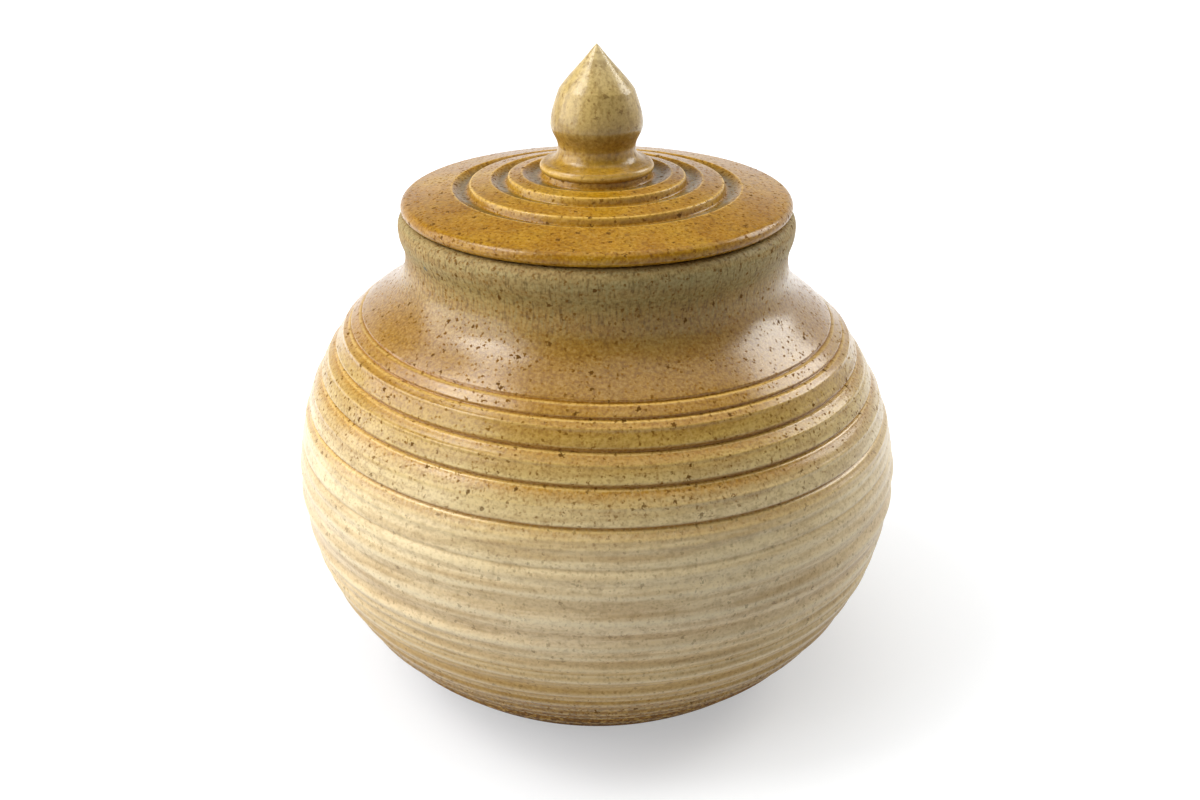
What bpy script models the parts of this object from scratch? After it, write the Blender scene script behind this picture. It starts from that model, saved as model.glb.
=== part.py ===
"""Lidded stoneware canister: a thrown jar, its turned lid and the knob luted on the lid.

Metres, +Z up. The origin is on the table, at the centre of the jar's foot ring.
Every piece is turned about the Z axis, as it was on the potter's wheel.
"""
import math

import bmesh
import bpy
import numpy as np
from mathutils import Vector
from mathutils.geometry import interpolate_bezier

MM = 0.001

# Jar, from the table up. Each height is the step up from the level before it, and each
# ease is the share of a rise over which a sweep keeps the direction that it starts in.
FOOT_RADIUS = 53.0 * MM
FOOT_WIDTH = 8.0 * MM
FOOT_HEIGHT = 4.5 * MM
FOOT_UNDERCUT = 1.3 * MM
FOOT_RECESS = 3.0 * MM
FOOT_BEVEL = 1.0 * MM
UNDERSIDE_RADIUS = 60.7 * MM
LOWER_BELLY_RISE = 59.3 * MM
BELLY_RADIUS = 90.0 * MM
UPPER_BELLY_RISE = 47.2 * MM
SHOULDER_RADIUS = 69.8 * MM
SHOULDER_RISE = 18.4 * MM
SHOULDER_SLOPE = math.radians(46.0)
SHOULDER_EASE = 0.42
NECK_RADIUS = 55.3 * MM
NECK_EASE = 0.55
NECK_RISE = 8.8 * MM
RIM_FLARE = 1.6 * MM
RIM_LIP = 3.6 * MM
RIM_ROUND = 3.0 * MM
MOUTH_BEVEL = 1.0 * MM
WALL = 6.0 * MM
FLOOR = 6.5 * MM

# Throwing ridges: half-round laps with a sharp crease between them, deepest at the shoulder.
SHOULDER_LIP = 0.8 * MM
LAP_PITCH = 10.5 * MM
LAP_DEPTH = 1.2 * MM
LOW_LAP_DEPTH = 0.4 * MM

# Lid: a shallow cone with three turned grooves, counted outwards from the knob. A groove's
# section gives shares of its width, from its inner side, and of its dip.
LID_INSET = 1.1 * MM
LID_EDGE = 3.6 * MM
LID_EDGE_ROUND = 1.4 * MM
LID_SLOPE = math.radians(10.5)
LID_PLATE = 6.0 * MM
GROOVE_WIDTH = 5.0 * MM
GROOVE_DIP = 0.9 * MM
GROOVE_SECTION = ((0.10, 0.6), (0.40, 1.0), (0.75, 0.6))
INNER_RIDGE = 3.9 * MM
OUTER_RIDGE = 6.0 * MM
RIDGE_ROUND = 0.6 * MM
FLANGE_DEPTH = 9.0 * MM
FLANGE_WIDTH = 5.0 * MM
FLANGE_TAPER = 0.5 * MM

# Knob: a skirt, a slim neck and a pointed bud. Each rise starts where the one before ends.
SKIRT_RADIUS = 16.2 * MM
SKIRT_OVERHANG = 1.0 * MM
SKIRT_DROP = 1.0 * MM
SKIRT_EDGE = 2.2 * MM
STEM_RADIUS = 11.0 * MM
STEM_RISE = 5.0 * MM
BUD_RADIUS = 13.0 * MM
BUD_RISE = 6.3 * MM
CONE_RADIUS = 10.6 * MM
CONE_FOOT_RISE = 9.4 * MM
CONE_RISE = 12.3 * MM
TIP_RADIUS = 0.9 * MM
STEM_EASE = 0.6
BUD_EASE = 0.4

# Clearances: resting pieces stay a hair apart, and the flange is loose in the mouth.
SEAT_GAP = 0.3 * MM
FLANGE_PLAY = 1.0 * MM

# Facets of the turned surfaces.
JAR_SEGMENTS = 56
LID_SEGMENTS = 52
KNOB_SEGMENTS = 36
LAP_SAMPLES = (0.0, 0.12, 0.5, 0.88)
BELLY_SAMPLES = 400
INNER_POINTS = 12
CURVE_POINTS = 6
SHARP_ANGLE = math.radians(40.0)
MERGE = 0.001 * MM

# Levels and radii that follow from the sizes above.
BELLY_LEVEL = FOOT_HEIGHT + LOWER_BELLY_RISE
SHOULDER_LEVEL = BELLY_LEVEL + UPPER_BELLY_RISE
NECK_LEVEL = SHOULDER_LEVEL + SHOULDER_RISE
RIM_WIDEST_LEVEL = NECK_LEVEL + NECK_RISE
RIM_LEVEL = RIM_WIDEST_LEVEL + RIM_LIP
RIM_RADIUS = NECK_RADIUS + RIM_FLARE
MOUTH_RADIUS = NECK_RADIUS - WALL
FLOOR_LEVEL = FOOT_RECESS + FLOOR
SHOULDER_ANGLE = math.acos(SHOULDER_RADIUS / BELLY_RADIUS)
UNDERSIDE_ANGLE = math.acos(UNDERSIDE_RADIUS / BELLY_RADIUS)
UPPER_HALF_AXIS = UPPER_BELLY_RISE / math.sin(SHOULDER_ANGLE)
LOWER_HALF_AXIS = LOWER_BELLY_RISE / math.sin(UNDERSIDE_ANGLE)
LID_RADIUS = RIM_RADIUS - LID_INSET
FLANGE_RADIUS = MOUTH_RADIUS - FLANGE_PLAY


def clear_scene():
    """Remove whatever the scene starts with."""
    for item in list(bpy.data.objects):
        bpy.data.objects.remove(item, do_unlink=True)


def glaze(name, colour, roughness):
    """A fired glaze: one colour and one roughness, not a metal."""
    material = bpy.data.materials.new(name)
    material.use_nodes = True
    shader = material.node_tree.nodes["Principled BSDF"]
    shader.inputs["Base Color"].default_value = (*colour, 1.0)
    shader.inputs["Roughness"].default_value = roughness
    shader.inputs["Metallic"].default_value = 0.0
    material.diffuse_color = (*colour, 1.0)
    return material


def turn(name, profile, segments, material):
    """Spin (radius, height) points, which start and end on the axis, into one closed solid."""
    form = bmesh.new()
    points = [form.verts.new((radius, 0.0, height)) for radius, height in profile]
    lines = [form.edges.new(pair) for pair in zip(points, points[1:])]
    bmesh.ops.spin(form, geom=points + lines, cent=(0, 0, 0), axis=(0, 0, 1),
                   angle=math.tau, steps=segments, use_merge=True)
    bmesh.ops.remove_doubles(form, verts=form.verts, dist=MERGE)
    bmesh.ops.recalc_face_normals(form, faces=form.faces)
    mesh = bpy.data.meshes.new(name)
    form.to_mesh(mesh)
    form.free()
    mesh.shade_smooth()
    mesh.set_sharp_from_angle(angle=SHARP_ANGLE)
    mesh.materials.append(material)
    piece = bpy.data.objects.new(name, mesh)
    bpy.context.collection.objects.link(piece)
    return piece


def curve(start, start_pull, end_pull, end, points=CURVE_POINTS):
    """Points of a cubic curve from start to end; each pull is a step from its own end."""
    first, last = Vector(start), Vector(end)
    ends = (first, first + Vector(start_pull), last + Vector(end_pull), last)
    return [tuple(point) for point in interpolate_bezier(*ends, points)]


def quarter_round(corner, radius_step, height_step, points=4):
    """A quarter ellipse that leaves corner upright and ends level, by the two steps."""
    angles = np.linspace(0.0, math.pi / 2, points)
    return [(corner[0] + radius_step * (1 - math.cos(angle)),
             corner[1] + height_step * math.sin(angle)) for angle in angles]


def belly_curve(inset, low_angle, samples):
    """Two quarter ellipses, inset from the outside, from the shoulder edge down past the widest."""
    angle = np.linspace(SHOULDER_ANGLE, -low_angle, samples)
    half_axis = np.where(angle > 0, UPPER_HALF_AXIS, LOWER_HALF_AXIS) - inset
    return (BELLY_RADIUS - inset) * np.cos(angle), BELLY_LEVEL + half_axis * np.sin(angle)


def shoulder_curve(inset):
    """The hollow sweep from the neck, upright there, down to the shoulder edge."""
    radius, height = (values[0] for values in belly_curve(inset, 0.0, 2))
    neck = (NECK_RADIUS - inset, NECK_LEVEL)
    neck_pull = NECK_EASE * (NECK_LEVEL - height)
    edge_pull = SHOULDER_EASE * (NECK_LEVEL - height)
    slope = (-edge_pull * math.cos(SHOULDER_SLOPE), edge_pull * math.sin(SHOULDER_SLOPE))
    return curve(neck, (0.0, -neck_pull), slope, (radius, height))


def lapped_belly():
    """The belly's outside: equal laps along the wall, each half-round, over its ellipses."""
    radius, height = belly_curve(0.0, UNDERSIDE_ANGLE, BELLY_SAMPLES)
    along = np.append(0.0, np.cumsum(np.hypot(np.diff(radius), np.diff(height))))
    lapped_length = along[-1] - SHOULDER_LIP
    laps = max(1, round(lapped_length / LAP_PITCH))
    count = (np.arange(laps)[:, None] + np.array(LAP_SAMPLES)).ravel()
    place = SHOULDER_LIP + count * lapped_length / laps
    half_round = np.sqrt(1.0 - (2.0 * (count % 1.0) - 1.0) ** 2)
    depth = np.interp(count, (0, laps), (LAP_DEPTH, LOW_LAP_DEPTH)) * (1.0 - half_round)
    outward_radius = np.interp(place, along, -np.gradient(height, along))
    outward_height = np.interp(place, along, np.gradient(radius, along))
    lap_radius = np.interp(place, along, radius) - depth * outward_radius
    lap_height = np.interp(place, along, height) - depth * outward_height
    return list(zip(lap_radius.tolist(), lap_height.tolist()))


def jar_profile():
    """The jar's section: floor, inside wall, mouth, rim, outside wall, foot ring and base."""
    floor_sine = (BELLY_LEVEL - FLOOR_LEVEL) / (LOWER_HALF_AXIS - WALL)
    radius, height = belly_curve(WALL, math.asin(floor_sine), INNER_POINTS)
    inside = list(zip(radius.tolist(), height.tolist()))[::-1]
    inside += shoulder_curve(WALL)[-2::-1]
    mouth = [(MOUTH_RADIUS, RIM_LEVEL - MOUTH_BEVEL), (MOUTH_RADIUS + MOUTH_BEVEL, RIM_LEVEL)]
    rim_side = (RIM_RADIUS, RIM_WIDEST_LEVEL)
    rim = quarter_round(rim_side, -RIM_ROUND, RIM_LIP)[::-1]
    neck = curve(rim_side, (0.0, -NECK_RISE / 2), (0.0, NECK_RISE / 2), (NECK_RADIUS, NECK_LEVEL))
    outside = rim + neck[1:-1] + shoulder_curve(0.0) + lapped_belly()
    foot_inside = FOOT_RADIUS - FOOT_WIDTH
    foot = [
        (UNDERSIDE_RADIUS, FOOT_HEIGHT),
        (FOOT_RADIUS, FOOT_HEIGHT - FOOT_UNDERCUT),
        (FOOT_RADIUS, FOOT_BEVEL),
        (FOOT_RADIUS - FOOT_BEVEL, 0.0),
        (foot_inside, 0.0),
        (foot_inside - FOOT_BEVEL, FOOT_RECESS),
        (0.0, FOOT_RECESS),
    ]
    return [(0.0, FLOOR_LEVEL)] + inside + mouth + outside + foot


def lid_top(radius):
    """Height of the lid's plain cone above its resting face."""
    return LID_EDGE + (LID_RADIUS - radius) * math.tan(LID_SLOPE)


def knob_seat_height():
    """Height of the flat pad under the knob above the lid's resting face."""
    return lid_top(SKIRT_RADIUS) - SKIRT_DROP


def turned_groove(inner, outer):
    """A hollow that starts steep under the ridge inside it and runs out soft on its outer edge."""
    lip = lid_top(outer)
    hollow = [(inner + across * (outer - inner), lip - down * GROOVE_DIP) for across, down in GROOVE_SECTION]
    return hollow + [(outer, lip)]


def turned_ridge(outer):
    """The outer corner of a ridge, whose top is level with the cone, rounded off."""
    return [(outer - RIDGE_ROUND, lid_top(outer - RIDGE_ROUND)), (outer, lid_top(outer) - RIDGE_ROUND)]


def lid_profile():
    """The lid's section: knob pad, grooves and ridges, flange, edge, resting face and ring below."""
    pad_radius = SKIRT_RADIUS - SKIRT_OVERHANG
    inner_ridge = SKIRT_RADIUS + GROOVE_WIDTH
    middle_groove = inner_ridge + INNER_RIDGE
    outer_ridge = middle_groove + GROOVE_WIDTH
    outer_groove = outer_ridge + OUTER_RIDGE
    flat = outer_groove + GROOVE_WIDTH
    top = [(0.0, knob_seat_height()), (pad_radius, knob_seat_height())]
    top += turned_groove(pad_radius, inner_ridge) + turned_ridge(middle_groove)
    top += turned_groove(middle_groove, outer_ridge) + turned_ridge(outer_groove)
    top += turned_groove(outer_groove, flat)
    edge_top = (LID_RADIUS, LID_EDGE - LID_EDGE_ROUND)
    edge = quarter_round(edge_top, -LID_EDGE_ROUND, LID_EDGE_ROUND)[::-1]
    edge += quarter_round((LID_RADIUS, LID_EDGE_ROUND), -LID_EDGE_ROUND, -LID_EDGE_ROUND)
    ring_inside = FLANGE_RADIUS - FLANGE_WIDTH
    below = [
        (FLANGE_RADIUS, 0.0),
        (FLANGE_RADIUS - FLANGE_TAPER, -FLANGE_DEPTH),
        (ring_inside, -FLANGE_DEPTH),
        (ring_inside, lid_top(ring_inside) - LID_PLATE),
        (pad_radius, knob_seat_height() - LID_PLATE),
        (0.0, knob_seat_height() - LID_PLATE),
    ]
    return top + edge + below


def knob_profile():
    """The knob's section: flat foot, rounded skirt, stem, bud and pointed cone."""
    foot_radius = SKIRT_RADIUS - SKIRT_OVERHANG
    stem_level = SKIRT_EDGE + STEM_RISE
    bud_level = stem_level + BUD_RISE
    cone_level = bud_level + CONE_FOOT_RISE
    tip_level = cone_level + CONE_RISE
    skirt = [(SKIRT_RADIUS, SKIRT_EDGE / 2)]
    sweep = curve((foot_radius, SKIRT_EDGE), (STEM_EASE * (STEM_RADIUS - foot_radius), 0.0),
                  (0.0, -STEM_EASE * STEM_RISE), (STEM_RADIUS, stem_level))
    swell = curve((STEM_RADIUS, stem_level), (0.0, BUD_EASE * BUD_RISE),
                  (0.0, -BUD_EASE * BUD_RISE), (BUD_RADIUS, bud_level))
    chord = (BUD_EASE * (BUD_RADIUS - CONE_RADIUS), -BUD_EASE * CONE_FOOT_RISE)
    taper = curve((BUD_RADIUS, bud_level), (0.0, BUD_EASE * CONE_FOOT_RISE),
                  chord, (CONE_RADIUS, cone_level))
    tip = [(TIP_RADIUS, tip_level - TIP_RADIUS), (0.0, tip_level)]
    return [(0.0, 0.0), (foot_radius, 0.0)] + skirt + sweep + swell[1:] + taper[1:] + tip


clear_scene()
jar_glaze = glaze("oatmeal_glaze", (0.56, 0.42, 0.22), 0.35)
lid_glaze = glaze("amber_glaze", (0.40, 0.22, 0.06), 0.28)
knob_glaze = glaze("straw_glaze", (0.50, 0.36, 0.14), 0.28)

turn("jar_body", jar_profile(), JAR_SEGMENTS, jar_glaze)

# The lid and its knob lift together along the jar's axis, from the rim.
lid_lift = bpy.data.objects.new("lid_lift", None)
lid_lift.location = (0.0, 0.0, RIM_LEVEL + SEAT_GAP)
bpy.context.collection.objects.link(lid_lift)

lid_disc = turn("lid_disc", lid_profile(), LID_SEGMENTS, lid_glaze)
lid_disc.parent = lid_lift

lid_knob = turn("lid_knob", knob_profile(), KNOB_SEGMENTS, knob_glaze)
lid_knob.parent = lid_disc
lid_knob.location = (0.0, 0.0, knob_seat_height() + SEAT_GAP)
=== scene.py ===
"""A hand-thrown stoneware canister with a turned lid and a bud knob, dressed over its solids.

Metres, +Z up, with the origin on the table under the middle of the jar.
"""
import math

import bpy
import numpy as np
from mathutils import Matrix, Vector


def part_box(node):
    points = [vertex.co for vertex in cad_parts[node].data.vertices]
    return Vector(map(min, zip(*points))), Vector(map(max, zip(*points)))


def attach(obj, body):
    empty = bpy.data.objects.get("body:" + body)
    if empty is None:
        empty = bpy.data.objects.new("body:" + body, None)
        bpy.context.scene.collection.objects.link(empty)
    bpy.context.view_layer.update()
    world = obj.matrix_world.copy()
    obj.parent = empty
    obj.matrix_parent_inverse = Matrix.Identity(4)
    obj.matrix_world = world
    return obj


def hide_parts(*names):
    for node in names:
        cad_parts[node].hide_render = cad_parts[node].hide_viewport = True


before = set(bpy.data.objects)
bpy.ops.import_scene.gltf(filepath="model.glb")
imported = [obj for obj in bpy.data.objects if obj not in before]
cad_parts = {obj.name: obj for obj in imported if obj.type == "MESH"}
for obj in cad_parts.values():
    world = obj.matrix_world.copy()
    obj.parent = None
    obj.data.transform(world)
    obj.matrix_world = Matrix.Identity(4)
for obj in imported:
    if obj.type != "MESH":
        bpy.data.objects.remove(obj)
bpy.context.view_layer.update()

MM = 0.001

# Camera: an ordinary lens from a little above, looking down on the lid. It stands straight in
# front of the jar, close enough for the lid to be seen as a wide ellipse.
CAMERA_PLACE, CAMERA_DIP = (0.9 * MM, -361.5 * MM, 249.8 * MM), math.radians(25.12)
FILM_WIDTH, LENS_LENGTH, NEAREST = 36.0, 39.0, 10.0 * MM
camera = bpy.data.objects.new("camera", bpy.data.cameras.new("camera"))
camera.location = CAMERA_PLACE
camera.rotation_euler = (math.pi / 2 - CAMERA_DIP, 0.0, 0.0)
camera.data.sensor_width = FILM_WIDTH
camera.data.lens = LENS_LENGTH
camera.data.clip_start = NEAREST
bpy.context.collection.objects.link(camera)
bpy.context.scene.camera = camera

# Jar: one thrown stoneware pot, hollow, with a trimmed foot ring. Its throwing ridges are laps
# left by the fingers, and its glaze runs from grey at the neck through amber to oatmeal.
FOOT_RADIUS, FOOT_WIDTH, FOOT_HEIGHT = 53.0 * MM, 8.0 * MM, 4.5 * MM
FOOT_RECESS, FOOT_TAPER, FOOT_WALL, FOOT_ROUND = 3.0 * MM, 1.0 * MM, 3.2 * MM, 0.8 * MM
FLOOR_LEVEL, WALL = 9.5 * MM, 6.0 * MM
UNDERSIDE_RADIUS, BELLY_RADIUS, BELLY_LEVEL = 60.7 * MM, 90.0 * MM, 63.8 * MM
SHOULDER_RADIUS, SHOULDER_LEVEL = 69.8 * MM, 111.0 * MM
SHOULDER_SLOPE, SHOULDER_EASE, NECK_EASE = math.radians(46.0), 0.42, 0.55
NECK_RADIUS, NECK_LEVEL, NECK_PULL = 55.3 * MM, 129.4 * MM, 4.4 * MM
RIM_RADIUS, RIM_WIDEST_LEVEL, RIM_LEVEL, RIM_ROUND = 56.9 * MM, 138.2 * MM, 141.8 * MM, 3.0 * MM
MOUTH_LIP, MOUTH_ROUND = 2.0 * MM, 1.2 * MM

# Each crease: its height, its depth, and how far it reaches up and down the wall, in mm.
CREASES = np.array([
    (112.0, 0.80, 0.3, 1.8), (108.8, 0.95, 0.4, 2.6), (102.6, 1.60, 0.5, 4.4), (95.0, 1.70, 0.6, 4.8),
    (85.5, 1.25, 0.6, 4.6), (75.1, 0.42, 1.2, 3.6), (41.9, 0.40, 0.8, 3.0), (29.9, 0.55, 0.9, 4.0),
    (24.0, 0.50, 1.0, 2.5), (17.2, 0.60, 1.2, 3.0), (11.0, 0.55, 1.2, 2.0)])
# Each soft crest or hollow that a fingertip left: its height, how proud it is, and its half width.
CRESTS = np.array([
    (106.6, 0.28, 0.5), (99.4, 0.32, 0.5), (90.3, 0.24, 0.5), (82.7, 0.30, 0.9), (80.6, 0.14, 0.8),
    (79.0, -0.22, 1.3), (72.9, 0.26, 1.2), (70.8, -0.26, 1.4), (67.8, 0.50, 1.4), (64.0, -0.42, 1.8),
    (60.2, 0.52, 1.5), (57.4, 0.20, 0.8), (54.5, -0.46, 1.8), (51.6, 0.54, 1.5), (48.2, 0.34, 1.1),
    (46.1, -0.42, 1.4), (44.1, 0.36, 1.1), (39.2, 0.48, 1.4), (37.3, 0.16, 0.8), (35.5, -0.32, 1.4),
    (33.0, 0.40, 1.2), (27.0, 0.36, 1.1), (21.2, 0.36, 1.0), (14.0, 0.30, 0.9)])
# Fine throwing ripples, in mm: how proud, how quick up the wall, and where they start.
RIPPLES = ((0.022, 2.9, 0.0), (0.045, 1.7, 1.0))
RIPPLE_MEAN, RIPPLE_SWING, RIPPLE_SLOW, RIPPLE_FADE = 0.7, 0.3, 0.31, 2.0
BULGE, BULGE_BELOW, BULGE_SPREAD, NECK_FADE = 0.6, 5.0, 3.0, 0.2
# Round each crease, in mm below it: the lip's share of its depth, and where each trace of glaze lies. The
# pale band on the lip is partly thin glaze and partly painted highlight.
LIP_SHARE, LIP_BELOW, LIP_SPREAD = 0.09, 0.9, 0.4
POOL_BELOW, POOL_SPREAD, RUN_LENGTH, EDGE_BELOW, EDGE_SPREAD = -0.1, 0.3, 2.2, 0.8, 0.35
CREST_EDGE = 1.2
# Waves that the crests come and go in: how many round the pot, how strong, and their share of the phase.
CREST_WAVES, CREST_MEAN, CREST_PHASE = ((2, 0.3, 1.0), (5, 0.25, 2.3)), 0.8, 1.7
# How far each height leans out of level, right side down, because the pot was thrown by hand.
LEAN_HEIGHT = np.array([0.0, 30.0, 75.0, 95.0, 111.0, 129.0, 141.0]) * MM
LEAN = np.tan(np.radians([0.0, 0.43, 0.68, 1.25, 1.43, 0.55, 0.0]))
JAR_COLUMNS, WALL_ROWS, SHOULDER_ROWS, INNER_ROWS, GLAZED_FOOT_ROWS = 176, 380, 48, 40, 4
BELLY_CROWD, SHOULDER_CROWD = 1.25, 1.8


def bezier(start, start_pull, end_pull, end, count, crowd=1.0):
    """Points of a cubic from start, where crowd packs them, to end; each pull is a step from its end."""
    share = np.linspace(0.0, 1.0, count)[:, None] ** crowd
    first, last = np.array(start), np.array(end)
    second, third = first + start_pull, last + end_pull
    return ((1 - share) ** 3 * first + 3 * (1 - share) ** 2 * share * second
            + 3 * (1 - share) * share ** 2 * third + share ** 3 * last)


def rounded(points, cut, count=6, most=0.45):
    """A chain of lines whose inner corners are replaced by parabolas that start cut before them.

    No corner takes more than the share most of a line.
    """
    points = np.array(points)
    share = np.linspace(0.0, 1.0, count)[:, None]
    rows = [points[:1]]
    for before, corner, after in zip(points, points[1:], points[2:]):
        start = corner + (before - corner) * min(most, cut / np.linalg.norm(before - corner))
        end = corner + (after - corner) * min(most, cut / np.linalg.norm(after - corner))
        rows.append((1 - share) ** 2 * start + 2 * (1 - share) * share * corner + share ** 2 * end)
    return np.vstack(rows + [points[-1:]])


def rolled_edge(radius, level, width, height, start, end, count):
    """Arc of an ellipse from one angle to another; at angle 0 it is at its full radius and the level."""
    turn = np.linspace(start, end, count)
    return np.stack([radius - width * (1 - np.cos(turn)), level + height * np.sin(turn)], 1)


def belly(inset, low_angle, count):
    """Two quarter ellipses that meet at the widest level, from low_angle below it to the shoulder."""
    high_angle = math.acos(SHOULDER_RADIUS / BELLY_RADIUS)
    upper = (SHOULDER_LEVEL - BELLY_LEVEL) / math.sin(high_angle)
    lower = (BELLY_LEVEL - FOOT_HEIGHT) / math.sin(math.acos(UNDERSIDE_RADIUS / BELLY_RADIUS))
    angle = high_angle - (high_angle + low_angle) * np.linspace(1.0, 0.0, count) ** BELLY_CROWD
    half_axis = np.where(angle > 0, upper, lower) - inset
    return np.stack([(BELLY_RADIUS - inset) * np.cos(angle), BELLY_LEVEL + half_axis * np.sin(angle)], 1)


def shoulder(edge, inset, count):
    """The hollow sweep from the shoulder's edge up to the neck, where it is upright."""
    rise = NECK_LEVEL - edge[1]
    lift = SHOULDER_EASE * rise
    return bezier(edge, (-lift * math.cos(SHOULDER_SLOPE), lift * math.sin(SHOULDER_SLOPE)),
                  (0.0, -NECK_EASE * rise), (NECK_RADIUS - inset, NECK_LEVEL), count, SHOULDER_CROWD)


def bell(distance, spread):
    """1 at no distance, falling off on both sides over the spread."""
    return np.exp(-(distance / spread) ** 2)


def lapped(wall, angle):
    """The wall pushed in along its normal by cusped creases and out or in by soft, bell-shaped crests.

    A crease falls off with the square of the distance, and has a small lip below it. The crests
    come and go round the pot in slow waves, over fine ripples that stop at the shoulder's edge.
    Returns the wall for each angle, and for each point up it how deep in a crease it is, how
    near under one, and how much on an edge.
    """
    along = np.append(0.0, np.cumsum(np.linalg.norm(np.diff(wall, axis=0), axis=1)))
    step = np.gradient(wall, along, axis=0)
    normal = np.stack([step[:, 1], -step[:, 0]], 1)
    offset = (along[:, None] - np.interp(CREASES[:, 0] * MM, wall[:, 1], along)) / MM
    reach = np.where(offset > 0, CREASES[:, 2], CREASES[:, 3])
    cusp = np.clip(1.0 - np.abs(offset) / reach, 0.0, 1.0) ** 2
    lip = LIP_SHARE * bell(offset + LIP_BELOW, LIP_SPREAD)
    crest_offset = (along[:, None] - np.interp(CRESTS[:, 0] * MM, wall[:, 1], along)) / MM
    crest = bell(crest_offset, CRESTS[:, 2])
    rise = along / MM
    below_edge = np.interp(SHOULDER_LEVEL, wall[:, 1], along) / MM - rise
    ripple = sum(proud * np.sin(rise * quick + first) for proud, quick, first in RIPPLES)
    ripple *= RIPPLE_MEAN + RIPPLE_SWING * np.sin(RIPPLE_SLOW * rise)
    ripple *= np.clip(below_edge / RIPPLE_FADE, 0.0, 1.0)
    bulge = BULGE * np.exp(-(below_edge - BULGE_BELOW) ** 2 / (2 * BULGE_SPREAD ** 2))
    phase = CRESTS[:, :1] * CREST_PHASE
    swing = CREST_MEAN + sum(strong * np.sin(count * angle + share * phase)
                             for count, strong, share in CREST_WAVES)
    push = crest * CRESTS[:, 1] @ swing + (ripple + bulge + (lip - cusp) @ CREASES[:, 1])[:, None]
    push *= np.clip((rise[-1] - rise) / NECK_FADE, 0.0, 1.0)[:, None]
    pool = bell(offset + POOL_BELOW, POOL_SPREAD) @ CREASES[:, 1]
    under = np.where(offset < 0, np.exp(offset / RUN_LENGTH), 0.0) @ CREASES[:, 1]
    # Pale band on each lip and crest: partly thin glaze, partly a painted highlight where they face up to the
    # light.
    edge = bell(offset + EDGE_BELOW, EDGE_SPREAD) @ CREASES[:, 1]
    edge += CREST_EDGE * crest ** 3 @ np.maximum(CRESTS[:, 1], 0.0)
    pushed = wall[:, None] + normal[:, None] * push[:, :, None] * MM
    return pushed, np.clip(pool, 0, 1), np.clip(under, 0, 1), np.clip(edge, 0, 1)


def around(columns):
    """Even steps round the axis."""
    return np.arange(columns) * math.tau / columns


def turned_mesh(name, profile, angle, lean=0.0, **values):
    """A body of revolution: (radius, height) rows, alike or one for each angle, carried round Z.

    The first and last rows are on the axis and become one point each. A lean lowers a point by
    its x times the lean at its row. Each of values is kept per row as a point attribute.
    """
    columns, rows = len(angle), len(profile) - 2
    radius, height = np.moveaxis(profile[1:-1], 2, 0)
    x, y = radius * np.cos(angle), radius * np.sin(angle)
    ring = np.stack([x, y, height + 0.0 * angle - x * lean], 2).reshape(-1, 3)
    ends = profile[[0, -1], 0, 1]
    points = np.vstack([[(0.0, 0.0, ends[0])], ring, [(0.0, 0.0, ends[1])]])
    index = 1 + np.arange(rows * columns).reshape(rows, columns)
    turned = np.roll(index, -1, 1)
    quads = np.stack([index[:-1], turned[:-1], turned[1:], index[1:]], 2).reshape(-1, 4)
    low = np.stack([0 * index[0], turned[0], index[0]], 1)
    high = np.stack([index[-1], turned[-1], 0 * index[0] + len(points) - 1], 1)
    mesh = bpy.data.meshes.new(name)
    mesh.from_pydata(points, [], low.tolist() + quads.tolist() + high.tolist())
    for key, row in values.items():
        spread = np.concatenate([row[:1], np.repeat(row[1:-1], columns), row[-1:]])
        mesh.attributes.new(key, "FLOAT", "POINT").data.foreach_set("value", spread.astype(np.float32))
    mesh.shade_smooth()
    piece = bpy.data.objects.new(name, mesh)
    bpy.context.collection.objects.link(piece)
    return piece


underside_angle = math.acos(UNDERSIDE_RADIUS / BELLY_RADIUS)
inner_drop = (BELLY_LEVEL - FOOT_HEIGHT) / math.sin(underside_angle) - WALL
floor_angle = math.asin((BELLY_LEVEL - FLOOR_LEVEL) / inner_drop)
jar_angle = around(JAR_COLUMNS)
wall = belly(0.0, underside_angle, WALL_ROWS)
wall = np.vstack([wall, shoulder(wall[-1], 0.0, SHOULDER_ROWS)[1:]])
outer_wall, wall_pool, wall_under, wall_edge = lapped(wall, jar_angle)
inner_wall = belly(WALL, floor_angle, INNER_ROWS)
foot_inside = FOOT_RADIUS - FOOT_WIDTH
foot = rounded([(0.0, FOOT_RECESS), (foot_inside - FOOT_TAPER, FOOT_RECESS), (foot_inside, 0.0),
                (FOOT_RADIUS, 0.0), (FOOT_RADIUS, FOOT_WALL), tuple(wall[0])], FOOT_ROUND)
neck = bezier((NECK_RADIUS, NECK_LEVEL), (0.0, NECK_PULL), (0.0, -NECK_PULL),
              (RIM_RADIUS, RIM_WIDEST_LEVEL), 16)
rim = rolled_edge(RIM_RADIUS, RIM_WIDEST_LEVEL, RIM_ROUND, RIM_LEVEL - RIM_WIDEST_LEVEL, 0.0, math.pi / 2, 12)
mouth_radius = NECK_RADIUS - WALL
mouth = rounded([(mouth_radius + MOUTH_LIP, RIM_LEVEL), (mouth_radius, RIM_LEVEL),
                 (mouth_radius, NECK_LEVEL)], MOUTH_ROUND)
sections = [foot[:-1], wall, neck[1:], rim[1:], mouth,
            shoulder(inner_wall[-1], WALL, 20)[-2::-1], inner_wall[-2::-1],
            np.array([(0.0, FLOOR_LEVEL)])]
jar_rows = np.vstack(sections)
before, after = len(sections[0]), sum(len(part) for part in sections[2:])
bare = np.where(np.arange(len(jar_rows)) < before - GLAZED_FOOT_ROWS, 1.0, 0.0)
jar_grid = np.repeat(jar_rows[:, None], JAR_COLUMNS, 1)
jar_grid[before:-after] = outer_wall
jar = turned_mesh(
    "jar", jar_grid, jar_angle, np.interp(jar_rows[1:-1, 1], LEAN_HEIGHT, LEAN)[:, None], bare=bare,
    pool=np.pad(wall_pool, (before, after)), under=np.pad(wall_under, (before, after)),
    edge=np.pad(wall_edge, (before, after)))


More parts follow.
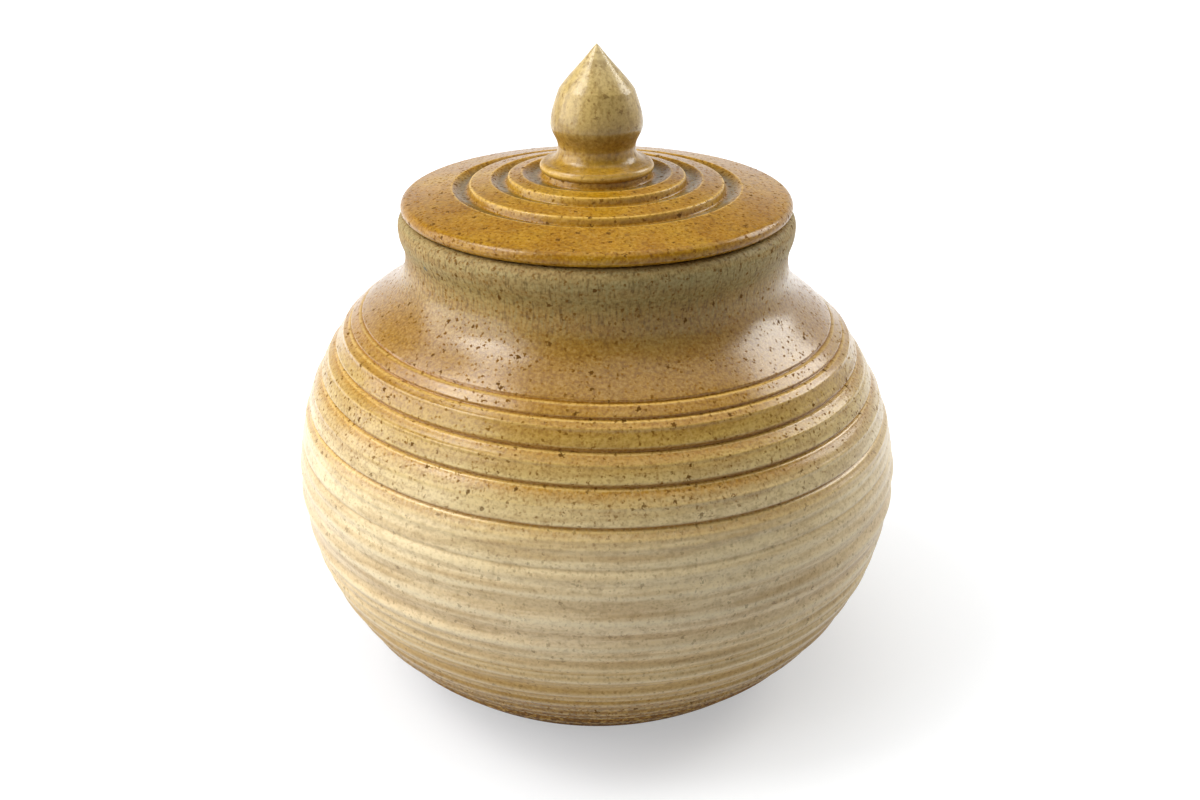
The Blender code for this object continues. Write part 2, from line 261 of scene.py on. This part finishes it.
def linear(code):
    """An sRGB hex colour as linear RGBA."""
    parts = [int(code[k:k + 2], 16) / 255 for k in (1, 3, 5)]
    return tuple(c / 12.92 if c <= 0.04045 else ((c + 0.055) / 1.055) ** 2.4 for c in parts) + (1.0,)


def add_node(tree, kind, inputs=None, **settings):
    """Add a node, set its settings, and set or link each of its inputs."""
    made = tree.nodes.new(kind)
    for key, value in settings.items():
        setattr(made, key, value)
    for key, value in (inputs or {}).items():
        if isinstance(value, bpy.types.NodeSocket):
            tree.links.new(value, made.inputs[key])
        else:
            made.inputs[key].default_value = value
    return made


def calculate(tree, operation, first, second):
    """The result of one sum on two values or sockets, kept between 0 and 1."""
    made = add_node(tree, "ShaderNodeMath", {0: first, 1: second}, operation=operation, use_clamp=True)
    return made.outputs[0]


def times(tree, first, second):
    """The product of two values or sockets, kept between 0 and 1."""
    return calculate(tree, "MULTIPLY", first, second)


def larger(tree, first, second):
    """The larger of two values or sockets."""
    return calculate(tree, "MAXIMUM", first, second)


def blend(tree, factor, below, above, mode="MIX"):
    """One colour laid over another by a factor."""
    made = add_node(tree, "ShaderNodeMix", {0: factor, 6: below, 7: above},
                    data_type="RGBA", blend_type=mode)
    return made.outputs[2]


def stain(tree, tone, code, cover, strength=1.0):
    """A hex colour laid over the tone, as thickly as its cover times its strength."""
    return blend(tree, times(tree, cover, strength), tone, linear(code))


def ramp(tree, factor, stops):
    """Colours that run into one another along a factor; stops are (place, hex colour)."""
    made = add_node(tree, "ShaderNodeValToRGB", {"Fac": factor})
    elements = made.color_ramp.elements
    while len(elements) < len(stops):
        elements.new(1.0)
    for element, (place, code) in zip(elements, stops):
        element.position = place
        element.color = linear(code)
    return made.outputs["Color"]


def span(tree, value, before, after):
    """A value carried evenly from one (low, high) range to another, and held at its ends."""
    made = add_node(tree, "ShaderNodeMapRange", {
        "Value": value, "From Min": before[0], "From Max": before[1], "To Min": after[0], "To Max": after[1]})
    return made.outputs["Result"]


def window(tree, value, low, high):
    """0 below low and 1 above high, or the other way round where low is the larger."""
    made = add_node(tree, "ShaderNodeMapRange", {"Value": value, "From Min": low, "From Max": high},
                    interpolation_type="SMOOTHSTEP")
    return made.outputs["Result"]


def clouds(tree, place, size, detail=3.0):
    """Soft noise, about 0.5 on average, on a grid of (x, y, z) sizes in mm."""
    scaled = add_node(tree, "ShaderNodeVectorMath",
                      {0: place, 1: tuple(1.0 / (length * MM) for length in size)}, operation="MULTIPLY")
    made = add_node(tree, "ShaderNodeTexNoise",
                    {"Vector": scaled.outputs[0], "Scale": 1.0, "Detail": detail, "Roughness": 0.55})
    return made.outputs["Fac"]


def drifted(tree, place, value, size, reach):
    """A value that soft noise on a grid of sizes in mm moves up and down, reach in all."""
    drift = add_node(tree, "ShaderNodeMath", {0: clouds(tree, place, size), 1: reach, 2: -reach / 2},
                     operation="MULTIPLY_ADD").outputs[0]
    return calculate(tree, "ADD", value, drift)


# A speck's outline: the grid of its noise in mm, what that noise makes of distances, and where it is full.
RAGGED_SIZE, RAGGED_NOISE, RAGGED_REACH, FULL_SHARE = (0.5, 0.5, 0.5), (0.3, 0.7), (0.55, 1.6), 0.75


def specks(tree, place, cell, radius, share):
    """Iron specks: a ragged ball of the radius in a share of cells of the size, in mm, cut by the wall."""
    ragged = span(tree, clouds(tree, place, RAGGED_SIZE, 1.0), RAGGED_NOISE, RAGGED_REACH)
    made = add_node(tree, "ShaderNodeTexVoronoi", {"Vector": place, "Scale": 1.0 / (cell * MM)})
    chosen = add_node(tree, "ShaderNodeSeparateColor", {"Color": made.outputs["Color"]}).outputs["Red"]
    reach = times(tree, made.outputs["Distance"], ragged)
    inside = window(tree, reach, radius / cell, FULL_SHARE * radius / cell)
    return times(tree, inside, calculate(tree, "GREATER_THAN", chosen, 1.0 - share))


def trace(tree, name):
    """What the mesh keeps per point under the name."""
    return add_node(tree, "ShaderNodeAttribute", attribute_name=name).outputs["Fac"]


def start_material(name):
    """A material with an empty tree, and its object coordinates."""
    material = bpy.data.materials.new(name)
    material.use_nodes = True
    tree = material.node_tree
    tree.nodes.clear()
    return material, tree, add_node(tree, "ShaderNodeTexCoord").outputs["Object"]


def upward(tree, place):
    """The height of a place."""
    return add_node(tree, "ShaderNodeSeparateXYZ", {0: place}).outputs["Z"]


# Iron specks by size: the cell that holds one and its radius, in mm, its strength and its colour.
SPECKS = ((1.1, 0.36, 0.50, "#7C4E08"), (1.8, 0.48, 0.75, "#6A4200"), (3.9, 0.70, 0.9, "#5A3800"))
# Grain in a glaze: the noise at which its sandy and its pale flecks start and are full, and their strength.
SANDY, SANDY_STRENGTH, PALE, PALE_STRENGTH = (0.45, 0.68), 0.44, (0.50, 0.30), 0.14
GRAIN_SIZE, SKIN_SIZE = (0.9, 0.9, 0.8), (1.1, 1.1, 1.1)
SKIN_STRENGTH, SKIN_DEPTH, SPECK_ROUGHNESS = 0.55, 0.16 * MM, 0.8


def fire(tree, place, colour, roughness, specular, coat, coat_roughness, speck_share, iron=1.0):
    """Finish a glaze: break its colour up finely, sink matt iron specks in it and give it its gloss.

    speck_share of the cells hold a speck. iron is how strongly specks and grain show, all over or
    by place.
    """
    grain = clouds(tree, place, GRAIN_SIZE, 4.0)
    sandy = times(tree, window(tree, grain, *SANDY), iron)
    colour = blend(tree, times(tree, sandy, SANDY_STRENGTH), colour, linear("#A0742E"), "MULTIPLY")
    colour = stain(tree, colour, "#E8C888", window(tree, grain, *PALE), PALE_STRENGTH)
    spotted = 0.0
    for cell, radius, strength, code in SPECKS:
        grains = times(tree, specks(tree, place, cell, radius, speck_share), iron)
        colour = stain(tree, colour, code, grains, strength)
        spotted = larger(tree, spotted, grains)
    roughness = larger(tree, roughness, times(tree, spotted, SPECK_ROUGHNESS))
    coat = times(tree, coat, calculate(tree, "SUBTRACT", 1.0, spotted))
    skin = clouds(tree, place, SKIN_SIZE)
    dimples = add_node(tree, "ShaderNodeBump",
                       {"Strength": SKIN_STRENGTH, "Distance": SKIN_DEPTH, "Height": skin})
    shader = add_node(tree, "ShaderNodeBsdfPrincipled", {
        "Base Color": colour, "Roughness": roughness, "Normal": dimples.outputs["Normal"],
        "Specular IOR Level": specular, "Coat Weight": coat, "Coat Roughness": coat_roughness})
    add_node(tree, "ShaderNodeOutputMaterial", {"Surface": shader.outputs["BSDF"]})


# Ash glaze over speckled stoneware: it pools amber in the creases and runs down from them, and greys towards
# the rim. On the lips below the creases and on the crests it is pale, partly where it breaks thin and partly
# as a painted highlight where they face up to the light. The foot is wiped bare.
# The lowest tones darken towards the foot, partly thin glaze over the iron body and partly painted shade
# under the belly.
JAR_TONES = [
    (0.04, "#603806"), (0.11, "#8A5C0E"), (0.20, "#BC964E"), (0.30, "#DABE8A"), (0.40, "#E6D0A8"),
    (0.52, "#E8D4A8"), (0.60, "#DECA9A"), (0.67, "#D0B87A"), (0.73, "#BE9E4E"), (0.785, "#A67816"),
    (0.85, "#987022"), (0.90, "#A0803E"), (0.94, "#A28C54"), (0.99, "#A69464")]
# Heights at which each trait of the glaze starts and is full.
AMBER, DRY, NECKED, WET = (66 * MM, 90 * MM), (34 * MM, 10 * MM), (118 * MM, 130 * MM), (98 * MM, 112 * MM)
GLOSS_LOW, GLOSS_HIGH = (60 * MM, 86 * MM), (134 * MM, 120 * MM)
IRON_LOW, IRON_HIGH = (48 * MM, 16 * MM), (68 * MM, 96 * MM)
material, tree, place = start_material("ash_glazed_stoneware")
height = upward(tree, place)
level = span(tree, height, (0.0, RIM_LEVEL), (0.0, 1.0))
tone = ramp(tree, drifted(tree, place, level, (30, 30, 12), 0.10), JAR_TONES)
for size, detail, full, strength, code in (((70, 70, 3.6), 2.0, 0.62, 0.30, "#A27A34"),
                                           ((30, 30, 2.2), 4.0, 0.66, 0.30, "#A07638"),
                                           ((3.4, 3.4, 2.0), 4.0, 0.66, 0.24, "#86642F")):
    tone = stain(tree, tone, code, window(tree, clouds(tree, place, size, detail), 0.46, full), strength)

necked, amber, dry = (window(tree, height, *ends) for ends in (NECKED, AMBER, DRY))
streaks = clouds(tree, place, (0.8, 0.8, 4.5), 5.0)
tone = stain(tree, tone, "#564320", times(tree, window(tree, streaks, 0.48, 0.66), necked), 0.55)
tone = stain(tree, tone, "#8E8658", times(tree, window(tree, streaks, 0.48, 0.34), necked), 0.45)
tone = stain(tree, tone, "#4C5A58", times(tree, specks(tree, place, 11.0, 1.1, 0.35), necked), 0.75)

pool, under, edge, wiped = (trace(tree, name) for name in ("pool", "under", "edge", "bare"))
feathered = span(tree, streaks, (0.35, 0.6), (0.5, 1.0))
tone = stain(tree, tone, "#B47E0E", times(tree, under, amber), feathered)
lined = larger(tree, span(tree, amber, (0.0, 1.0), (0.60, 0.70)), times(tree, dry, 0.85))
settled = blend(tree, amber, linear("#B4861C"), linear("#9C6606"))
tone = blend(tree, times(tree, pool, lined), tone, settled)
# Pale on the lips and crests: partly glaze broken thin, partly painted highlight.
pale_edge_strength = span(tree, amber, (0.0, 1.0), (0.90, 0.60))
broken_and_lit = blend(tree, amber, linear("#EEE0BC"), linear("#F2D078"))
tone = blend(tree, times(tree, edge, pale_edge_strength), tone, broken_and_lit)
tone = stain(tree, tone, "#A58E6E", wiped)
scraped = clouds(tree, place, (1.4, 1.4, 1.0), 4.0)
for low, high, code in ((0.48, 0.55, "#442600"), (0.46, 0.38, "#CCA85C")):
    tone = stain(tree, tone, code, times(tree, window(tree, scraped, low, high), dry), 0.65)

satin = span(tree, clouds(tree, place, (14, 14, 6)), (0.0, 1.0), (0.22, 0.38))
for cover, roughness in ((dry, 0.75), (wiped, 0.9), (necked, 0.50)):
    satin = larger(tree, satin, times(tree, cover, roughness))
glossy = times(tree, window(tree, height, *GLOSS_LOW), window(tree, height, *GLOSS_HIGH))
shine = times(tree, glossy, span(tree, height, WET, (0.5, 0.9)))
iron = larger(tree, window(tree, height, *IRON_LOW), window(tree, height, *IRON_HIGH))
fire(tree, place, tone, satin, specular=0.14, coat=larger(tree, shine, times(tree, edge, amber)),
     coat_roughness=0.23, speck_share=0.4, iron=larger(tree, iron, 0.45))
jar.data.materials.append(material)
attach(jar, "jar")
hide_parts("jar_body")

# Lid: a thrown disc, turned with three grooves round its middle and rounded at its edge. A ring
# underneath drops into the mouth, and the lid rests on the rim by its own weight.
LID_RADIUS, LID_EDGE, LID_EDGE_ROUND, LID_UNDER_ROUND = 55.8 * MM, 3.6 * MM, 2.4 * MM, 2.4 * MM
LID_SLOPE, LID_PLATE, LID_BELOW_ROUND = math.radians(10.5), 6.0 * MM, 1.2 * MM
FLANGE_RADIUS, FLANGE_WIDTH, FLANGE_DEPTH, FLANGE_TAPER = 48.3 * MM, 5.0 * MM, 9.0 * MM, 0.5 * MM
# Each groove's inner and outer radius. It falls steeply from its inner edge, and runs out again.
GROOVES = np.array([(15.2, 21.2), (25.1, 30.1), (36.1, 41.1)]) * MM
GROOVE_DIP, GROOVE_FALL, GROOVE_RUN_OUT = 1.2 * MM, 0.14, 0.35
GROOVE_EDGE_IN, GROOVE_EDGE_OUT, GROOVE_EDGE_SHIFT = 0.35 * MM, 0.30 * MM, 0.1 * MM
# Where across a groove its pooled glaze and painted shade start, over how much of it, and how strong its
# outer edge is.
GROOVE_POOL_START, GROOVE_POOL_SPREAD, GROOVE_OUTER_SHARE = 0.15, 0.2, 0.6
PAD_RADIUS, PAD_DROP, PAD_LEVEL_RADIUS = 15.2 * MM, 1.0 * MM, 16.2 * MM
LID_COLUMNS, LID_ROWS = 176, 260
rest_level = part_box("lid_disc")[0][2] + FLANGE_DEPTH


def cone(radius):
    """Height of the lid's plain slope above the face that it rests on."""
    return LID_EDGE + (LID_RADIUS - radius) * math.tan(LID_SLOPE)


corner_end = LID_RADIUS - LID_EDGE_ROUND * (1 - math.sin(LID_SLOPE))
corner_level = cone(corner_end) - LID_EDGE_ROUND * math.cos(LID_SLOPE)
lid_corner = np.vstack([
    rolled_edge(LID_RADIUS, corner_level, LID_UNDER_ROUND, corner_level, -math.pi / 2, 0.0, 8)[:-1],
    rolled_edge(LID_RADIUS, corner_level, LID_EDGE_ROUND, LID_EDGE_ROUND, 0.0, math.pi / 2 - LID_SLOPE, 14)])
lid_radius = np.linspace(corner_end, PAD_RADIUS, LID_ROWS)
lid_height = cone(lid_radius)
lid_pool_and_shade, lid_edge = 0 * lid_radius, 0 * lid_radius
for inner, outer in GROOVES:
    across = (lid_radius - inner) / (outer - inner)
    wall_share = np.clip(across / GROOVE_FALL, 0.0, 1.0)
    fall = wall_share ** 2 * (3 - 2 * wall_share)
    run_out = np.clip((across - GROOVE_RUN_OUT) / (1 - GROOVE_RUN_OUT), 0.0, 1.0)
    within = (across >= 0.0) & (across <= 1.0)
    floor = cone(outer) - GROOVE_DIP * (1 - run_out ** 2)
    lid_height = np.where(within, cone(inner) + (floor - cone(inner)) * fall, lid_height)
    settling = np.clip((across - GROOVE_POOL_START) / GROOVE_POOL_SPREAD, 0.0, 1.0)
    lid_pool_and_shade += np.where(within, fall * (1 - run_out ** 2) * settling, 0.0)
    lid_edge += bell(lid_radius - inner + GROOVE_EDGE_SHIFT, GROOVE_EDGE_IN)
    lid_edge += GROOVE_OUTER_SHARE * bell(lid_radius - outer - GROOVE_EDGE_SHIFT, GROOVE_EDGE_OUT)
lid_height = np.convolve(np.pad(lid_height, 1, "edge"), np.ones(3) / 3, "valid")
ring_inside = FLANGE_RADIUS - FLANGE_WIDTH
middle_level = cone(PAD_RADIUS) - PAD_DROP - LID_PLATE
below = rounded([
    (0.0, middle_level), (PAD_RADIUS, middle_level), (ring_inside, cone(ring_inside) - LID_PLATE),
    (ring_inside, -FLANGE_DEPTH), (FLANGE_RADIUS - FLANGE_TAPER, -FLANGE_DEPTH), (FLANGE_RADIUS, 0.0),
    tuple(lid_corner[0])], LID_BELOW_ROUND)
lid_top = np.stack([lid_radius, lid_height], 1)[1:]
pad_level = cone(PAD_LEVEL_RADIUS) - PAD_DROP
pad = np.array([(PAD_RADIUS, pad_level), (0.0, pad_level)])
lid_rows = np.vstack([below, lid_corner[1:], lid_top, pad])
lid_rows[:, 1] += rest_level
before, after = len(below) + len(lid_corner) - 1, len(pad)
lid = turned_mesh(
    "lid", lid_rows[:, None], around(LID_COLUMNS), pool=np.pad(lid_pool_and_shade[1:], (before, after)),
    edge=np.pad(np.clip(lid_edge[1:], 0, 1), (before, after)))

# Amber iron glaze: glossy, deep brown-gold, olive where it stands thick in the grooves, with painted shade
# darkening them further, and golden where it has run thin off the turned edges.
material, tree, place = start_material("amber_iron_glaze")
patchy = clouds(tree, place, (16, 16, 16), 4.0)
tone = ramp(tree, patchy, [(0.32, "#9A6A08"), (0.50, "#A87808"), (0.68, "#B28612")])
flecked = clouds(tree, place, (2.0, 2.0, 2.0), 5.0)
tone = stain(tree, tone, "#74500E", window(tree, flecked, 0.48, 0.64), 0.38)
# Olive where the glaze stands thick in the grooves, darkened further as painted shade.
tone = stain(tree, tone, "#6A5620", trace(tree, "pool"), 0.90)
tone = stain(tree, tone, "#E6BC58", trace(tree, "edge"), 0.75)
fire(tree, place, tone, span(tree, patchy, (0.0, 1.0), (0.22, 0.36)), specular=0.18, coat=0.32,
     coat_roughness=0.14, speck_share=0.55)
lid.data.materials.append(material)
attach(lid, "lid")
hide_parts("lid_disc")

# Knob: a bud with a pointed tip on a slim stem, thrown by itself. Its skirt is luted on the
# lid's middle with slip before firing.
SKIRT_RADIUS, SKIRT_EDGE, SKIRT_ROUND = 16.2 * MM, 3.0 * MM, 1.5 * MM
SKIRT_GLOW_SHARE, SKIRT_GLOW_SPREAD = 0.55, 0.8 * MM
STEM_RADIUS, STEM_RISE = 11.0 * MM, 4.2 * MM
BUD_RADIUS, BUD_RISE, BUD_PULL = 13.0 * MM, 6.3 * MM, 2.5 * MM
CONE_RADIUS, CONE_FOOT_RISE, CONE_RISE, TIP_RADIUS = 10.6 * MM, 9.4 * MM, 12.3 * MM, 0.9 * MM
# Steps from the start and the end of each curve that its tangents are pulled to.
SWEEP_PULLS = (-2.2 * MM, 0.2 * MM), (0.0, -2.6 * MM)
TAPER_PULLS = (0.0, 3.0 * MM), (1.1 * MM, -3.2 * MM)
SPIRE_PULLS = (-2.2 * MM, 3.3 * MM), (3.1 * MM, -3.9 * MM)
KNOB_COLUMNS = 112
seat_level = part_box("lid_knob")[0][2]
stem_level = SKIRT_EDGE + STEM_RISE
bud_level = stem_level + BUD_RISE
cone_level = bud_level + CONE_FOOT_RISE
tip_level = cone_level + CONE_RISE
skirt = rolled_edge(SKIRT_RADIUS, SKIRT_EDGE / 2, SKIRT_ROUND, SKIRT_EDGE / 2, -math.pi / 2, math.pi / 2, 14)
sweep = bezier(skirt[-1], *SWEEP_PULLS, (STEM_RADIUS, stem_level), 20)
swell = bezier((STEM_RADIUS, stem_level), (0.0, BUD_PULL), (0.0, -BUD_PULL), (BUD_RADIUS, bud_level), 20)
taper = bezier((BUD_RADIUS, bud_level), *TAPER_PULLS, (CONE_RADIUS, cone_level), 24)
point = rounded([(CONE_RADIUS, cone_level), (TIP_RADIUS, tip_level - TIP_RADIUS), (0.0, tip_level)],
                TIP_RADIUS)
spire = bezier((CONE_RADIUS, cone_level), *SPIRE_PULLS, point[1], 24)
knob_rows = np.vstack([[(0.0, 0.0)], skirt, sweep[1:], swell[1:], taper[1:], spire[1:], point[2:]])
skirt_edge = bell(knob_rows[:, 1] - SKIRT_GLOW_SHARE * SKIRT_EDGE, SKIRT_GLOW_SPREAD)
knob_rows[:, 1] += seat_level
knob = turned_mesh("knob", knob_rows[:, None], around(KNOB_COLUMNS), edge=skirt_edge)

# Straw glaze: the same glaze thinner, so it fires amber round the skirt and pale on the bud.
KNOB_TONES = [
    (0.02, "#AC7E18"), (0.16, "#B08824"), (0.28, "#A88434"), (0.40, "#B09450"), (0.60, "#C2A662"),
    (0.80, "#CAB070"), (0.98, "#D2BC88")]
material, tree, place = start_material("straw_glaze")
rise = span(tree, upward(tree, place), (seat_level, seat_level + tip_level), (0.0, 1.0))
tone = ramp(tree, drifted(tree, place, rise, (9, 9, 9), 0.24), KNOB_TONES)
flecked = clouds(tree, place, (1.6, 1.6, 4.0), 5.0)
tone = stain(tree, tone, "#80601E", window(tree, flecked, 0.46, 0.62), 0.42)
tone = stain(tree, tone, "#E6BC58", trace(tree, "edge"), 0.75)
fire(tree, place, tone, roughness=0.34, specular=0.25, coat=0.5, coat_roughness=0.18,
     speck_share=0.36, iron=0.62)
knob.data.materials.append(material)
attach(knob, "lid")
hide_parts("lid_knob")

# Studio: a white paper table top, a broad soft lamp and a smaller high one on the left, a small one
# behind on the right and a large one overhead, in a dim room above a white backdrop.
FLOOR_HALF = 4.0
PAPER_TINT, LAMP_AIM = (0.588, 0.603, 0.624, 1.0), Vector((0.0, 0.0, 0.09))
# Distance from the jar's axis, and how much the paper shows white of itself there.
NEAR_REACH, NEAR_GLOW = (0.07, 0.20), (0.42, 0.65)
FAR_REACH, FAR_GLOW = (0.20, 1.1), (0.0, 0.40)
# Rise of a line of sight at which the backdrop ends and is full, and the strength of room and backdrop.
BACKDROP_TOP, ROOM_SHADES = (0.50, 0.15), (0.19, 1.0)


def seen_rays(tree):
    """1 for rays that show a thing, straight or in a mirror or a glass, and 0 for rays that light it."""
    path = add_node(tree, "ShaderNodeLightPath").outputs
    shown = larger(tree, path["Is Camera Ray"], path["Is Glossy Ray"])
    return larger(tree, shown, path["Is Transmission Ray"])


corners = [(-FLOOR_HALF, -FLOOR_HALF, 0), (FLOOR_HALF, -FLOOR_HALF, 0),
           (FLOOR_HALF, FLOOR_HALF, 0), (-FLOOR_HALF, FLOOR_HALF, 0)]
floor_mesh = bpy.data.meshes.new("table_top")
floor_mesh.from_pydata(corners, [], [(0, 1, 2, 3)])
table_top = bpy.data.objects.new("table_top", floor_mesh)
bpy.context.collection.objects.link(table_top)

# White paper: quite matt, with its own glow so that it shows white where no shadow falls.
material, tree, place = start_material("white_paper")
spot = add_node(tree, "ShaderNodeVectorMath", {0: place}, operation="LENGTH").outputs["Value"]
near, far = span(tree, spot, NEAR_REACH, NEAR_GLOW), span(tree, spot, FAR_REACH, FAR_GLOW)
glow = calculate(tree, "ADD", near, far)
shader = add_node(tree, "ShaderNodeBsdfPrincipled", {
    "Base Color": PAPER_TINT, "Roughness": 1.0, "Specular IOR Level": 0.0,
    "Emission Color": (1.0, 1.0, 1.0, 1.0), "Emission Strength": times(tree, glow, seen_rays(tree))})
add_node(tree, "ShaderNodeOutputMaterial", {"Surface": shader.outputs["BSDF"]})
floor_mesh.materials.append(material)


def soft_lamp(name, location, size, watts, colour):
    """A rectangular lamp of (width, height), turned to face the middle of the jar."""
    light = bpy.data.lights.new(name, "AREA")
    light.shape = "RECTANGLE"
    light.size, light.size_y = size
    light.energy = watts
    light.color = colour
    lamp = bpy.data.objects.new(name, light)
    lamp.location = location
    lamp.rotation_euler = (LAMP_AIM - lamp.location).to_track_quat("-Z", "Y").to_euler()
    bpy.context.collection.objects.link(lamp)


soft_lamp("lamp_left", (-0.86, -0.17, 0.54), (1.10, 0.95), 10.3, (0.99, 1.0, 1.03))
soft_lamp("lamp_right", (0.78, 0.34, 0.62), (0.47, 0.48), 5.0, (1.0, 0.98, 0.92))
soft_lamp("lamp_above", (0.14, 0.16, 1.10), (1.10, 1.10), 3.9, (1.0, 1.0, 1.0))
soft_lamp("lamp_high", (-0.62, -0.14, 0.98), (0.44, 0.44), 5.0, (1.0, 0.99, 0.95))

world = bpy.data.worlds.new("surround")
world.use_nodes = True
tree = world.node_tree
sight = add_node(tree, "ShaderNodeTexCoord").outputs["Generated"]
backdrop = times(tree, window(tree, upward(tree, sight), *BACKDROP_TOP), seen_rays(tree))
background = tree.nodes["Background"].inputs
background["Color"].default_value = (1.0, 1.0, 1.0, 1.0)
tree.links.new(span(tree, backdrop, (0.0, 1.0), ROOM_SHADES), background["Strength"])
bpy.context.scene.world = world
bpy.context.scene.view_settings.view_transform = "Standard"
